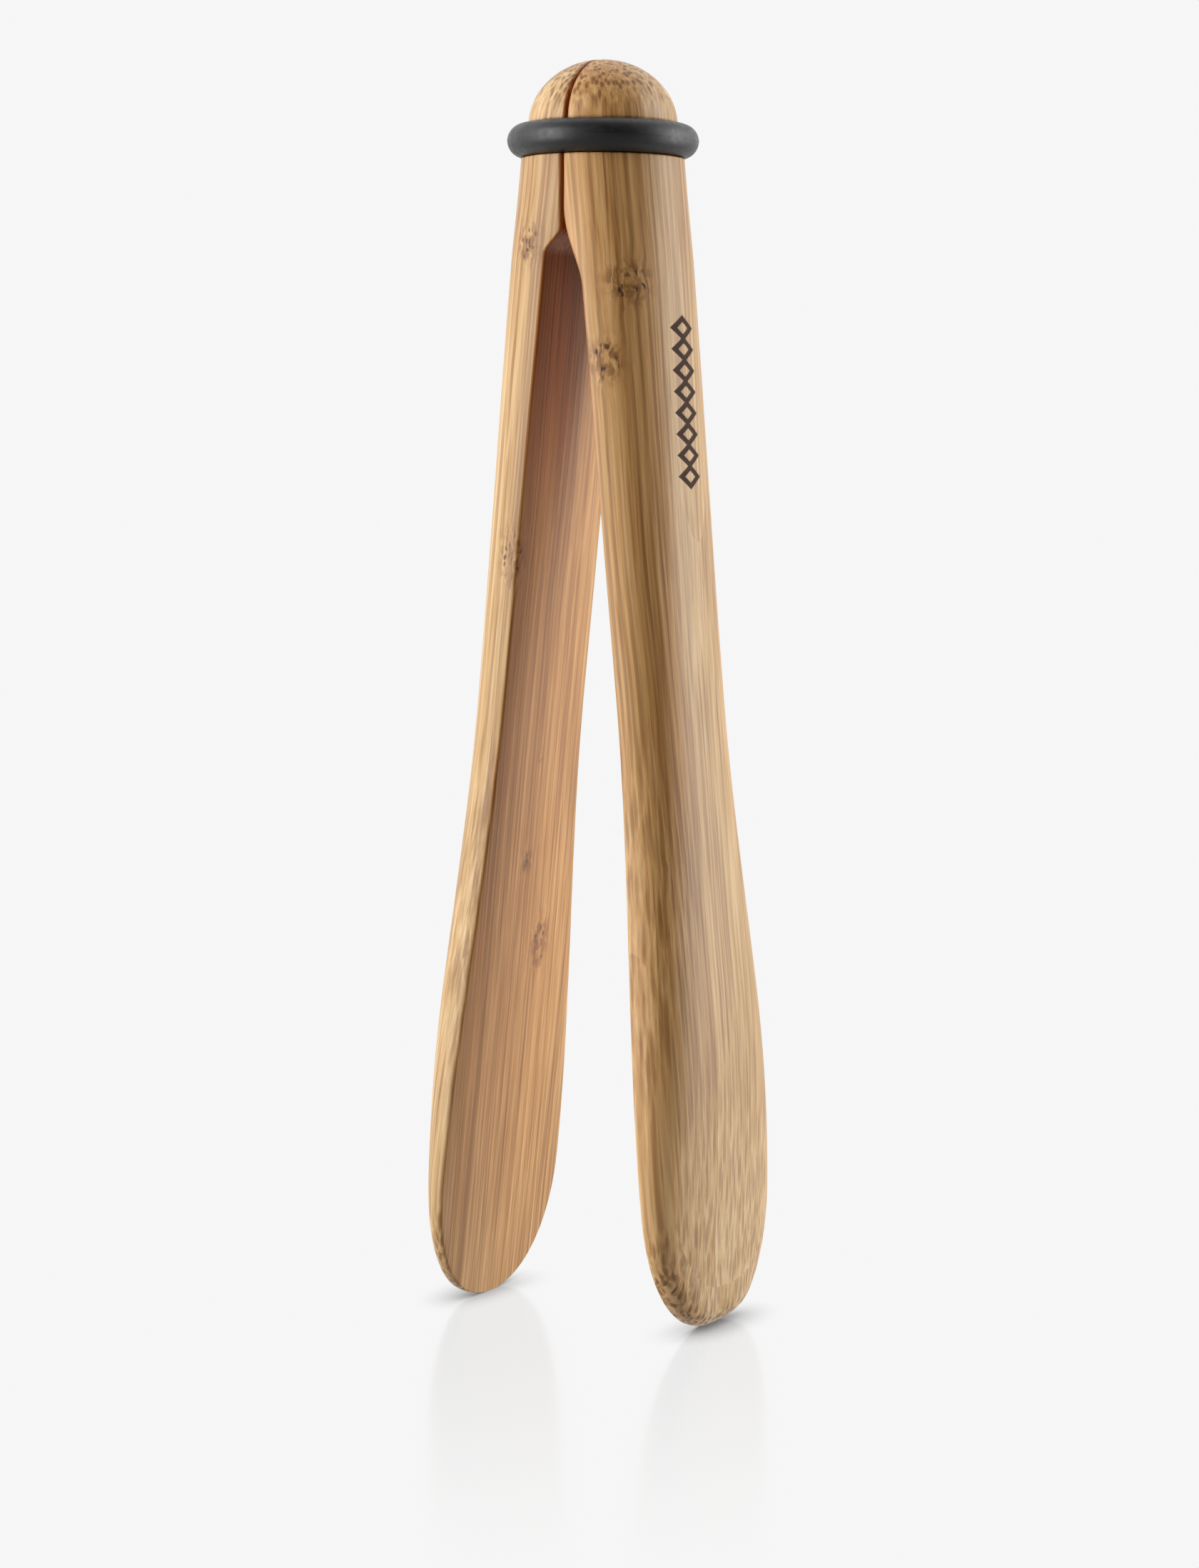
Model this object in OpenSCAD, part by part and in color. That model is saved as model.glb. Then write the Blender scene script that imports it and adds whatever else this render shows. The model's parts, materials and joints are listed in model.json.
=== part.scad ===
// Two-arm wooden tongs held together by a rubber ring.
// Z is up, the tongs stand on their two tips at z = 0, the jaws open along X and are wide along Y.
// The two arms are the same shape: the left one is the right one turned half a turn about Z.

/* [Overall] */
// Height from the tips to the top of the domed heads
overall_h = 270; // [225:5:330]
// Angle by which the inner face of each jaw leans out from upright, in degrees
jaw_angle = 5.8; // [4:0.1:7.5]

/* [Heads] */
// Diameter of the two heads together, just under the ring
neck_d = 34.8; // [29:0.1:42]
// Diameter of the dome's foot, just above the ring
dome_d = 31.8; // [26.5:0.1:38.2]
// Height of the dome above its foot
dome_h = 14; // [8:0.5:18]
// Height of the dome's foot above the middle of the ring
dome_above_ring = 3.1; // [2:0.1:6]
// Height of the middle of the ring above the pivot
ring_above_pivot = 14.4; // [12:0.1:20]

/* [Ring] */
// Thickness of the ring's round section
ring_t = 7; // [5.8:0.1:8.4]
// Depth to which the ring sinks into the head, below the dome's foot
groove_depth = 2.5; // [1.5:0.1:3.5]

/* [Throat] */
// Radius of the rounded edge on which the heads roll
roll_r = 12; // [8:0.5:14]
// Radius of the hollow between the rounded edge and the jaw's inner face
throat_r = 12; // [8:0.5:20]
// Steepest angle of the throat, in degrees
throat_angle = 34; // [25:1:40]

/* [Jaws] */
// Thickness of an arm at the handle
handle_t = 12.2; // [10:0.1:14.8]
// Height at which the handle starts to thicken towards the neck
handle_z = 110; // [90:5:135]
// Width of an arm at the widest part of its blade
blade_w = 49.8; // [40:0.2:60]
// Height of the widest part of the blade
blade_z = 29; // [24:1:36]
// Height at which the blade starts to widen from the handle
flare_z = 135; // [110:5:165]
// Height at which the blade starts to thin towards the tip
taper_z = 75; // [60:5:90]
// Thickness that the blade tapers to at the tip
tip_t = 5; // [3:0.1:7]
// Height of the rounding that thins the tip's last edge
tip_round = 5; // [3:0.5:8]
// Fullness of the blade's rounded end: 2 is an ellipse, more is blunter
end_power = 2.2; // [2:0.1:3]
// Fullness of the blade's section: 2 is a half ellipse, more is squarer
blade_power = 2.6; // [2:0.1:3.2]

/* [Pivot] */
// Diameter of the dowel between the heads
dowel_d = 5; // [4:0.1:6.2]
// Length of the dowel, which stops inside both heads
dowel_l = 20; // [14:0.5:24]

/* [Fits] */
// Gap between the flat faces of the two heads
seam_gap = 0.5; // [0.3:0.05:0.8]
// Gap between the ring and its groove
ring_clear = 0.1; // [0.05:0.05:0.3]
// Gap around the dowel in the right arm, in which it turns
dowel_play = 0.08; // [0.02:0.01:0.1]
// Gap at each end of the dowel
dowel_end_gap = 0.2; // [0.1:0.1:0.6]

/* [Hidden] */
$fn = 96;

// Wood and rubber
wood_light = "#c79b66";
wood_dark = "#b98a57";
rubber = "#2b2b2d";

// Heights
dome_z = overall_h - dome_h;
ring_z = dome_z - dome_above_ring;
pivot_z = ring_z - ring_above_pivot;
neck_z = ring_z - ring_t / 2;

// Radii
neck_r = neck_d / 2;
dome_r = dome_d / 2;
blade_r = blade_w / 2;
ring_inner_r = dome_r - groove_depth;
ring_mid_r = ring_inner_r + ring_t / 2;

// The outline starts this much above the true end of its curve, which leaves a small flat to stand on
tip_trim = 0.25;

// A blank reaches this far past the seam, and past its jaw's plane, before its inner face is cut
blank_over = 2;
base_over = 0.4;
cut_over = 1;

// Mesh steps of an arm
side_n = 30;
end_n = 9;
blade_n = 7;
grip_n = 12;
throat_n = 5;
dome_n = 9;
arc_n = 8;

// Throat: a rounded edge from the seam out to throat_angle, then a hollow back to jaw_angle
seam_x = seam_gap / 2;
roll_end = [seam_x + roll_r * (1 - cos(throat_angle)), pivot_z - roll_r * sin(throat_angle)];
hollow_c = roll_end - throat_r * [cos(throat_angle), sin(throat_angle)];
throat_end = hollow_c + throat_r * [cos(jaw_angle), sin(jaw_angle)];
throat_z = throat_end[1];

// Eased step from 0 to 1
function ease(u) = let(v = min(1, max(0, u))) v * v * (3 - 2 * v);

// Distance of the jaw's inner plane from the middle plane at height z
function jaw_x(z) = throat_end[0] + (throat_z - z) * tan(jaw_angle);

// Share of the full size left by a rounding of height h and fullness p, at height z above its end
function rounding(z, h, p) = z >= h ? 1 : pow(1 - pow(1 - z / h, p), 1 / p);

// Thickness of the arm over its inner plane, up to the neck
neck_t = neck_r - jaw_x(neck_z);
function grip_t(z) = handle_t + (neck_t - handle_t) * ease((z - handle_z) / (neck_z - handle_z));
function blade_t(z) = tip_t + (handle_t - tip_t) * sin(90 * min(1, z / taper_z));
function edge_t(z) = rounding(z + tip_trim, tip_round, 2);
function arm_t(z) = (z < taper_z ? blade_t(z) : grip_t(z)) * edge_t(z);

// Half width of the arm up to the neck
function flare(z) = neck_r + (blade_r - neck_r) * ease((flare_z - z) / (flare_z - blade_z));
function arm_w(z) = flare(z) * rounding(z + tip_trim, blade_z, end_power);

// Radius of the round head above the neck: a short taper under the ring, then half an ellipse
function taper_r(z) = neck_r + (dome_r - neck_r) * (z - neck_z) / (dome_z - neck_z);
function dome_at(z) = dome_r * sqrt(1 - pow((z - dome_z) / dome_h, 2));
function head_r(z) = z < dome_z ? taper_r(z) : dome_at(z);

// Where a section's half ellipse starts: just inside the jaw's plane, and inside the seam from the neck up
function base_x(z) = jaw_x(z) * (1 - ease((z - throat_z) / (neck_z - throat_z))) - base_over;
function out_x(z) = z < neck_z ? jaw_x(z) + arm_t(z) : head_r(z);
function half_w(z) = z < neck_z ? arm_w(z) : head_r(z);
function power_at(z) = 2 + (blade_power - 2) * ease((neck_z - z) / (neck_z - blade_z));

// Outline of one section of the blank: a half superellipse, squared off past the seam
function bent(v, p) = sign(v) * pow(abs(v), 2 / p);
function section(z) =
    let(x0 = base_x(z), t = out_x(z) - x0, w = half_w(z), p = power_at(z))
    concat(
        [for (i = [0:side_n]) let(a = -90 + 180 * i / side_n)
            [x0 + t * bent(cos(a), p), w * bent(sin(a), p), z]],
        [[-blank_over, w, z], [-blank_over, -w, z]]
    );

// Heights of the sections, closest together where the arm turns fastest
last_angle = 86;
levels = concat(
    [for (i = [0:end_n - 1]) blade_z * (1 - cos(90 * i / end_n))],
    [for (i = [0:blade_n - 1]) blade_z + (flare_z - blade_z) * i / blade_n],
    [for (i = [0:grip_n - 1]) flare_z + (throat_z - flare_z) * i / grip_n],
    [for (i = [0:throat_n]) throat_z + (neck_z - throat_z) * i / throat_n],
    [for (i = [0:dome_n]) dome_z + dome_h * sin(last_angle * i / dome_n)],
    [overall_h]
);

// The topmost section takes the radius of the one below it, as a flat too small to feel
function level_section(i) =
    i < len(levels) - 1 ? section(levels[i]) : [for (p = section(levels[i - 1])) [p[0], p[1], levels[i]]];

// Solid through a stack of sections that have the same number of points
module loft(rings) {
    n = len(rings[0]);
    m = len(rings);
    points = [for (r = rings) each r];
    walls = [for (j = [0:m - 2], i = [0:n - 1])
        let(a = j * n + i, b = j * n + (i + 1) % n)
        each [[a, a + n, b + n], [a, b + n, b]]];
    foot = [[for (i = [0:n - 1]) i]];
    top = [[for (i = [n - 1:-1:0]) (m - 1) * n + i]];
    polyhedron(points = points, faces = concat(walls, foot, top), convexity = 6);
}

// Everything on the far side of an arm's inner surface: seam, rounded edge, hollow and jaw plane
module inner_side() {
    far_x = -blade_w;
    rolled = [for (i = [0:arc_n]) let(a = throat_angle * i / arc_n)
        [seam_x + roll_r * (1 - cos(a)), pivot_z - roll_r * sin(a)]];
    hollow = [for (i = [1:arc_n]) let(a = throat_angle + (jaw_angle - throat_angle) * i / arc_n)
        hollow_c + throat_r * [cos(a), sin(a)]];
    outline = concat(
        [[seam_x, overall_h + cut_over]],
        rolled,
        hollow,
        [[jaw_x(-cut_over), -cut_over], [far_x, -cut_over], [far_x, overall_h + cut_over]]
    );
    rotate([90, 0, 0])
        linear_extrude(height = blade_w + 2 * cut_over, center = true)
            polygon(outline);
}

// Round groove in which the ring sits
module ring_groove() {
    translate([0, 0, ring_z])
        rotate_extrude()
            translate([ring_mid_r, 0])
                circle(d = ring_t + 2 * ring_clear);
}

// Bore for the dowel, with the given gap around it
module dowel_bore(play) {
    translate([0, 0, pivot_z])
        rotate([90, 0, 0])
            cylinder(d = dowel_d + 2 * play, h = dowel_l + 2 * dowel_end_gap, center = true);
}

// One arm, on the +X side: a lofted blank less its inner side, groove and dowel bore
module arm(play) {
    difference() {
        loft([for (i = [0:len(levels) - 1]) level_section(i)]);
        inner_side();
        ring_groove();
        dowel_bore(play);
    }
}

module right_arm() {
    color(wood_light) arm(dowel_play);
}

module left_arm() {
    color(wood_dark) rotate([0, 0, 180]) arm(0);
}

module ring() {
    color(rubber)
        translate([0, 0, ring_z])
            rotate_extrude()
                translate([ring_mid_r, 0])
                    circle(d = ring_t);
}

module pivot_dowel() {
    color(wood_light)
        translate([0, 0, pivot_z])
            rotate([90, 0, 0])
                cylinder(d = dowel_d, h = dowel_l, center = true);
}

left_arm();
right_arm();
ring();
pivot_dowel();
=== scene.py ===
import json
import math

import bpy
import numpy as np
from bpy.props import FloatProperty, FloatVectorProperty, IntProperty, PointerProperty
from mathutils import Matrix, Vector


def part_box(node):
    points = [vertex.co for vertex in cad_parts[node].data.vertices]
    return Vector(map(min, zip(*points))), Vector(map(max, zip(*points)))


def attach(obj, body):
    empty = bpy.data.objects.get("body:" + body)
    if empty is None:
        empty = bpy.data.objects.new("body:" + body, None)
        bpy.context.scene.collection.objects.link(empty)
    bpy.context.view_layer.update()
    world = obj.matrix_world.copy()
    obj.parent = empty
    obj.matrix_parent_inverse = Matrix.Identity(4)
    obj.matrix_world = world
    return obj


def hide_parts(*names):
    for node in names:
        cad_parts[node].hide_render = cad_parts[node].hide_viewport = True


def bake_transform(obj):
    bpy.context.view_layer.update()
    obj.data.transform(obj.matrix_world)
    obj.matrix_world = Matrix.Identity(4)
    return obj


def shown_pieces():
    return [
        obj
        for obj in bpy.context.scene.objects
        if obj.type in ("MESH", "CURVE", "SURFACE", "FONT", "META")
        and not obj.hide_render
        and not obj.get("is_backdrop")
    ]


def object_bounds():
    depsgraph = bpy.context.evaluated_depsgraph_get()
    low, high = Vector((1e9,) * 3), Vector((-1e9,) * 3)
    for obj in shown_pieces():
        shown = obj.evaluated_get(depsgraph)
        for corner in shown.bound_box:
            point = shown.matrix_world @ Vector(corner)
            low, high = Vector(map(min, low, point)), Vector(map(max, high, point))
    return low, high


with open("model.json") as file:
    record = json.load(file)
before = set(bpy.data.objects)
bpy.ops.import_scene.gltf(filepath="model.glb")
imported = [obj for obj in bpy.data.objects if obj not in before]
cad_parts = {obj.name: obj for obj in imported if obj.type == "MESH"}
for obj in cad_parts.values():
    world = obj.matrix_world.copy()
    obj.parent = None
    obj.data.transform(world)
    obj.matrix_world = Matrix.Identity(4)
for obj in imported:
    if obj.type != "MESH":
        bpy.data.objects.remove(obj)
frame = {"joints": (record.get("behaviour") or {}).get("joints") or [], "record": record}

bl_info = {
    "name": "Ring Tongs",
    "version": (1, 0, 0),
    "blender": (4, 5, 0),
    "location": "3D View > Sidebar > Ring Tongs",
    "description": "Two bamboo arms, the rubber ring that holds them and the dowel they turn on",
    "category": "Object",
}

# All lengths are in metres. Z is up, the jaws open along X and are wide along Y.
MM = 0.001

# What the packed model says
LOWEST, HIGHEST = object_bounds()
ARM_LOW, ARM_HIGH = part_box("right_arm")
RING_LOW, RING_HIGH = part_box("ring")
DOWEL_LOW, DOWEL_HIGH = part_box("pivot_dowel")
PIVOT_Z = frame["joints"][0]["pos_m"][2]
JAW_FACE = next(m for m in frame["record"]["mounts"] if m["name"] == "right_jaw_face")

RING_SECTION = RING_HIGH.z - RING_LOW.z
RING_Z = (RING_HIGH.z + RING_LOW.z) / 2
RING_MID_R = (RING_HIGH.y - RING_SECTION) - (RING_HIGH.y + RING_LOW.y) / 2 + RING_SECTION / 2
JAW_ANGLE = math.atan2(-JAW_FACE["axis"][2], -JAW_FACE["axis"][0])
NECK_Z = RING_LOW.z


def linear(code):
    """Linear RGB of a colour given as a six-digit hex code in display values."""
    display = np.array([int(code[i : i + 2], 16) for i in (1, 3, 5)]) / 255
    return tuple(np.where(display <= 0.04045, display / 12.92, ((display + 0.055) / 1.055) ** 2.4))


def length_property(name, description, default, low=0.0, high=1.0):
    return FloatProperty(
        name=name, description=description, default=default, min=low, max=high,
        unit="LENGTH", subtype="DISTANCE", precision=4,
    )


def colour_property(name, description, code):
    return FloatVectorProperty(
        name=name, description=description, default=linear(code), min=0.0, max=1.0, size=3, subtype="COLOR"
    )


def share_property(name, description, default, high=1.0):
    return FloatProperty(
        name=name, description=description, default=default, min=0.0, max=high, subtype="FACTOR"
    )


def fullness_property(name, description, default):
    return FloatProperty(name=name, description=description, default=default)


def power_property(name, description, default):
    return FloatProperty(name=name, description=description, default=default, unit="POWER")


class TongsArmShape(bpy.types.PropertyGroup):
    """Sizes of one bamboo arm."""

    neck_d: length_property("Neck diameter", "Two heads together, just under the ring", 34.8 * MM)
    dome_d: length_property("Dome diameter", "Foot of the dome, just above the ring", 31.8 * MM)
    dome_h: length_property("Dome height", "Dome above its foot", 14 * MM)
    hollow_drop: length_property("Hollow drop", "From the pivot down to the jaw's plane", 12.2 * MM)
    right_drop: length_property("Right throat", "From the pivot down to the right arm's throat", 0.0)
    right_throat: length_property("Right throat height", "Seam out to the right jaw's plane", 17 * MM)
    left_drop: length_property("Left throat", "From the pivot down to the left arm's throat", 4.5 * MM)
    left_throat: length_property("Left throat height", "Seam out to the left jaw's plane", 5.5 * MM)
    handle_t: length_property("Handle thickness", "Arm at the handle", 12.2 * MM)
    handle_z: length_property("Handle height", "Where the handle starts to thicken", 110 * MM)
    blade_z: length_property("Blade height", "Widest part of the blade", 29 * MM)
    flare_z: length_property("Flare height", "Where the blade starts to widen", 135 * MM)
    taper_z: length_property("Taper height", "Where the blade starts to thin", 75 * MM)
    tip_t: length_property("Tip thickness", "Thickness that the blade tapers to", 5 * MM)
    tip_round: length_property("Tip rounding", "Height of the tip's rounded edge", 5 * MM)
    end_power: fullness_property("End fullness", "2 is an ellipse", 2.2)
    right_power: fullness_property("Right fullness", "Blade's section: 2 is half an ellipse", 3.1)
    left_power: fullness_property("Left fullness", "Blade's section: 2 is half an ellipse", 2.6)
    edge_r: length_property("Edge rounding", "Rounding of the inner face's edges", 0.7 * MM)
    groove_play: length_property("Groove play", "Gap between the ring and its groove", 0.1 * MM)
    bore_play: length_property("Bore play", "Gap between the dowel and its bore", 0.08 * MM)
    bore_end: length_property("Bore end", "Gap between each end of the dowel and its bore", 0.2 * MM)


class TongsMark(bpy.types.PropertyGroup):
    """The burnt row of lozenges on the right arm."""

    count: IntProperty(name="Lozenges", description="Lozenges in the row", default=8, min=1, max=20)
    top_z: length_property("Top", "Middle of the top lozenge", 213.2 * MM)
    pitch: length_property("Pitch", "From one lozenge to the next", 4.45 * MM)
    width: length_property("Width", "Lozenge across the arm", 6.4 * MM)
    height: length_property("Height", "Lozenge along the arm", 4.0 * MM)
    centre_y: length_property("Centre", "Middle of the row across the arm", -1.6 * MM, low=-1.0)
    stroke: length_property("Stroke", "Width of the burnt line", 1.2 * MM)
    depth: length_property("Depth", "How far the line is burnt in", 0.15 * MM)


class TongsWood(bpy.types.PropertyGroup):
    """Colours and grain of the bamboo."""

    light: colour_property("Light wood", "Palest strips", "#d8b283")
    middle: colour_property("Middle wood", "Most of the surface", "#bd915d")
    dark: colour_property("Dark wood", "Darkest strips", "#97662f")
    bundle: colour_property("Fibre bundles", "Dark bundles between the pale fibres", "#7d4e24")
    scar: colour_property("Node scars", "Dots at the nodes of the cane", "#42240e")
    burnt: colour_property("Burnt mark", "Scorched line of the mark", "#2a1206")
    strip_w: length_property("Strip width", "Glued strip across the arm", 8.5 * MM)
    strip_t: length_property("Strip thickness", "Glued strip through the arm", 7 * MM)
    bundle_pitch: length_property("Bundle spacing", "Middle to middle of two fibre bundles", 1.05 * MM)
    roughness: share_property("Roughness", "Oiled, satin surface", 0.5)


class TongsRubber(bpy.types.PropertyGroup):
    """Finish of the ring."""

    colour: colour_property("Rubber", "Black rubber", "#1b1b1c")
    roughness: share_property("Roughness", "Satin surface", 0.46)
    flash: length_property("Parting line", "Height of the moulding line", 0.05 * MM)
    bend: length_property("Bend", "How far each side of the seam the stretched ring bends", 4 * MM)


class TongsStage(bpy.types.PropertyGroup):
    """Floor, light and camera."""

    pale: share_property("Background", "Brightness of the floor and the background", 0.923)
    front_low: share_property("Front light", "Light from below in front", 0.36, high=4.0)
    back_low: share_property("Low back light", "Light from below behind", 0.86, high=4.0)
    back_high: share_property("Back light", "Light from above behind", 1.33, high=4.0)
    left_power: power_property("Left softbox", "Power of the left softbox", 8.8)
    right_power: power_property("Right softbox", "Power of the right softbox", 6.4)
    gloss: share_property("Floor gloss", "Strength of the reflection in the floor", 0.1)
    contact: share_property("Contact shadow", "Darkness of the shadow under the tips", 0.85)
    azimuth: FloatProperty(
        name="Azimuth", description="Camera's turn from the front towards the right arm",
        default=math.radians(29.54), subtype="ANGLE", unit="ROTATION",
    )
    distance: length_property("Distance", "Camera from the middle line", 729.4 * MM, high=5.0)
    height: length_property("Height", "Camera above the floor", 188.0 * MM, high=5.0)
    pitch: FloatProperty(
        name="Pitch", description="Camera's tilt below level",
        default=math.radians(5.68), subtype="ANGLE", unit="ROTATION",
    )
    roll: FloatProperty(
        name="Roll", description="Camera's roll", default=math.radians(0.32), subtype="ANGLE", unit="ROTATION"
    )
    lens: FloatProperty(name="Lens", description="Focal length in millimetres", default=77.59, unit="CAMERA")


# ---------------------------------------------------------------- shapes

# Sections along each stretch of an arm, and points along each stretch of one section
SECTIONS = {
    "tip": 56, "blade": 178, "mark": 136, "throat": 34, "bore": 21, "neck": 18, "groove": 34, "crown": 40,
}
OUTER_POINTS, EDGE_POINTS, BESIDE_POINTS, WITHIN_POINTS = 137, 6, 8, 16
# Stretch of an arm that holds the burnt mark
MARK_LOW, MARK_HIGH = 176 * MM, 219 * MM
# How far under the ring the head's sections start, and the dense ones, and the rounding of the groove's edge
HEAD_LEAD = 0.2 * MM
GROOVE_LEAD = 0.5 * MM
GROOVE_EDGE = 0.35 * MM
# Share of the inner face's half width taken by the wall at each end of the bore, and by the bore at most
BORE_WALL = 0.001
BORE_SHARE = 0.7
# A section's corner, as an angle: at the handle, how much further round it is on the blade, and its softness
CORNER, CORNER_SHIFT, CORNER_SOFT = 0.34, 0.28, 0.32
CORNER_TOP, CORNER_FADE = 130 * MM, 60 * MM


def ease(u):
    """Step from 0 to 1 that starts and ends level: 3u^2 - 2u^3, held at its ends."""
    v = np.clip(u, 0, 1)
    return v * v * (3 - 2 * v)


def rounding(z, height, power):
    """Share of the full size at height z above a rounded end: a quarter superellipse, 1 past its height."""
    u = np.clip(1 - z / height, 0, 1)
    return (1 - u**power) ** (1 / power)


def smooth_min(a, b, r):
    """The smaller of a and b, with the corner between them rounded over r."""
    h = np.clip(0.5 + (b - a) / (2 * r), 0, 1)
    return b + (a - b) * h - r * h * (1 - h)


def jaw_x(z):
    """Plane of the jaw's inner face: its distance from the middle plane at height z."""
    x, _, at_z = JAW_FACE["pos_m"]
    return x + (at_z - z) * math.tan(JAW_ANGLE)


def inner_x(shape, side, z):
    """Inner face at height z: the seam plane, then an eased step down the throat out to the jaw's plane."""
    right = (shape.right_drop, shape.right_throat)
    drop, height = right if side > 0 else (shape.left_drop, shape.left_throat)
    seam_x = ARM_LOW.x
    return seam_x + (jaw_x(z) - seam_x) * ease((PIVOT_Z - drop - z) / height)


def bore_radius(shape):
    """Radius of the dowel's bore: the dowel's own radius and the play round it."""
    return (DOWEL_HIGH.z - DOWEL_LOW.z) / 2 + shape.bore_play


def arm_levels(shape):
    """Heights of the sections, closest together at the tip, mark, bore, groove and crown."""
    dome_z = HIGHEST.z - shape.dome_h
    bore_r = bore_radius(shape)
    quarter = math.pi / 2
    tip = shape.blade_z * (1 - np.cos(np.linspace(0, quarter, SECTIONS["tip"])))[1:]
    blade = np.linspace(shape.blade_z, MARK_LOW, SECTIONS["blade"])[1:]
    marked = np.linspace(MARK_LOW, MARK_HIGH, SECTIONS["mark"])[1:]
    throat = np.linspace(MARK_HIGH, PIVOT_Z - bore_r, SECTIONS["throat"])[1:]
    bore = PIVOT_Z - bore_r * np.cos(np.linspace(0, math.pi, SECTIONS["bore"]))[1:]
    neck = np.linspace(PIVOT_Z + bore_r, NECK_Z - GROOVE_LEAD, SECTIONS["neck"])[1:]
    groove = np.linspace(NECK_Z - GROOVE_LEAD, dome_z, SECTIONS["groove"])[1:]
    crown = dome_z + shape.dome_h * np.sin(np.linspace(0, quarter, SECTIONS["crown"]))[1:-1]
    return np.concatenate([tip, blade, marked, throat, bore, neck, groove, crown])


def arm_sections(shape, side, z):
    """For each height z: inner face x, where the outer curve starts, its thickness, half width and fullness.

    The blade's thickness follows a sine up from the tip, and the handle's eases up to the neck. The width
    eases from the blade to the neck, under a quarter superellipse at the tip. The head is a taper, then half
    an ellipse, less the ring's round groove.
    """
    hollow_z = PIVOT_Z - shape.hollow_drop
    neck_r = shape.neck_d / 2
    dome_r = shape.dome_d / 2
    blade_r = (ARM_HIGH.y - ARM_LOW.y) / 2
    dome_z = HIGHEST.z - shape.dome_h
    plane = jaw_x(z)
    neck_t = neck_r - jaw_x(NECK_Z)

    swell = np.sin(math.pi / 2 * np.minimum(1, z / shape.taper_z))
    blade_t = shape.tip_t + (shape.handle_t - shape.tip_t) * swell
    rise = ease((z - shape.handle_z) / (NECK_Z - shape.handle_z))
    grip_t = shape.handle_t + (neck_t - shape.handle_t) * rise
    arm_t = np.where(z < shape.taper_z, blade_t, grip_t) * rounding(z, shape.tip_round, 2)
    flare = neck_r + (blade_r - neck_r) * ease((shape.flare_z - z) / (shape.flare_z - shape.blade_z))
    arm_w = flare * rounding(z, shape.blade_z, shape.end_power)

    taper = neck_r + (dome_r - neck_r) * (z - NECK_Z) / (dome_z - NECK_Z)
    dome = dome_r * np.sqrt(np.clip(1 - ((z - dome_z) / shape.dome_h) ** 2, 0, 1))
    head = np.where(z < dome_z, taper, dome)
    ring_r = RING_SECTION / 2 + shape.groove_play
    groove = RING_MID_R - np.sqrt(np.clip(ring_r**2 - (z - RING_Z) ** 2, 0, None))
    grooved = np.where(np.abs(z - RING_Z) < ring_r, smooth_min(head, groove, GROOVE_EDGE), head)

    start = plane * (1 - ease((z - hollow_z) / (NECK_Z - hollow_z)))
    below_head = z < NECK_Z - HEAD_LEAD
    outer = np.where(below_head, plane + arm_t, grooved)
    half_w = np.where(below_head, arm_w, grooved)
    blade_power = shape.right_power if side > 0 else shape.left_power
    power = 2 + (blade_power - 2) * ease((NECK_Z - z) / (NECK_Z - shape.blade_z))
    return inner_x(shape, side, z), start, outer - start, half_w, power


def arm_grid(shape, side):
    """Surface of an arm, as if it were the right one, on a grid of heights by steps round the section.

    Round the outside each section is a superellipse, walked from one rounded edge to the other as
    (t cos a, w sin a) / (|cos a|^p + |sin a|^p)^(1/p). Each edge is a quadratic curve, and the inner face
    is straight between them, but for the dowel's bore: a trough x = sqrt(r^2 - (z - pivot)^2) that ends in
    a step just past the dowel. Also gives two shares for each point: how far round the flank it lies, as an
    eased step at the section's corner, and whether it is on the inner face.
    """
    z = arm_levels(shape)
    inner, start, thick, half_w, power = (v[:, None] for v in arm_sections(shape, side, z))
    # a section never reaches past the middle of its own width or thickness
    edge = np.minimum(shape.edge_r, 0.3 * np.minimum(half_w, start + thick - inner))

    reach = np.clip((inner + edge - start) / thick, 1e-4, 0.999)
    last = np.arctan((reach**-power - 1) ** (1 / power))
    s = np.linspace(-1, 1, OUTER_POINTS)[None, :]
    a = last * (0.6 * s + 0.4 * s**3)
    size = (np.abs(np.cos(a)) ** power + np.abs(np.sin(a)) ** power) ** (1 / power)
    outer_x = np.where(np.abs(s) < 1, start + thick * np.cos(a) / size, inner + edge)
    outer_y = half_w * np.sin(a) / size

    u = np.linspace(0, 1, EDGE_POINTS)[None, 1:]
    edge_y = outer_y[:, -1:]
    turn_x = (1 - u) ** 2 * (inner + edge) + 2 * u * (1 - u) * inner + u**2 * inner
    turn_y = (1 - u) ** 2 * edge_y + 2 * u * (1 - u) * edge_y + u**2 * (edge_y - edge)
    # the flat face's columns crowd together at the ends of the bore, where one is sunk and the next is not
    flat = edge_y - edge
    bore_half = (DOWEL_HIGH.y - DOWEL_LOW.y) / 2 + shape.bore_end
    share = np.minimum(bore_half / flat, BORE_SHARE)
    beside = 1 + (share + BORE_WALL - 1) * np.linspace(0, 1, BESIDE_POINTS)[None, 1:]
    within = share * np.linspace(1, -1, WITHIN_POINTS)[None, :]
    face_y = np.concatenate([beside, within, -beside[:, ::-1]], axis=1) * flat
    trough = np.sqrt(np.clip(bore_radius(shape) ** 2 - (z[:, None] - PIVOT_Z) ** 2, 0, None))
    sunk = np.maximum(inner, trough)
    face_x = np.where(np.abs(face_y) <= share * flat, sunk, inner)

    x = np.concatenate([outer_x, turn_x, face_x, turn_x[:, ::-1]], axis=1)
    y = np.concatenate([outer_y, turn_y, face_y, -turn_y[:, ::-1]], axis=1)
    inside = np.zeros_like(x)
    inside[:, a.shape[1] :] = 1
    corner = CORNER + CORNER_SHIFT * ease((CORNER_TOP - z[:, None]) / CORNER_FADE)
    flank = np.concatenate([ease((np.abs(a) - corner) / CORNER_SOFT), inside[:, a.shape[1] :]], axis=1)
    return np.stack([x, y, np.repeat(z[:, None], x.shape[1], axis=1)], axis=2), flank, inside


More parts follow.
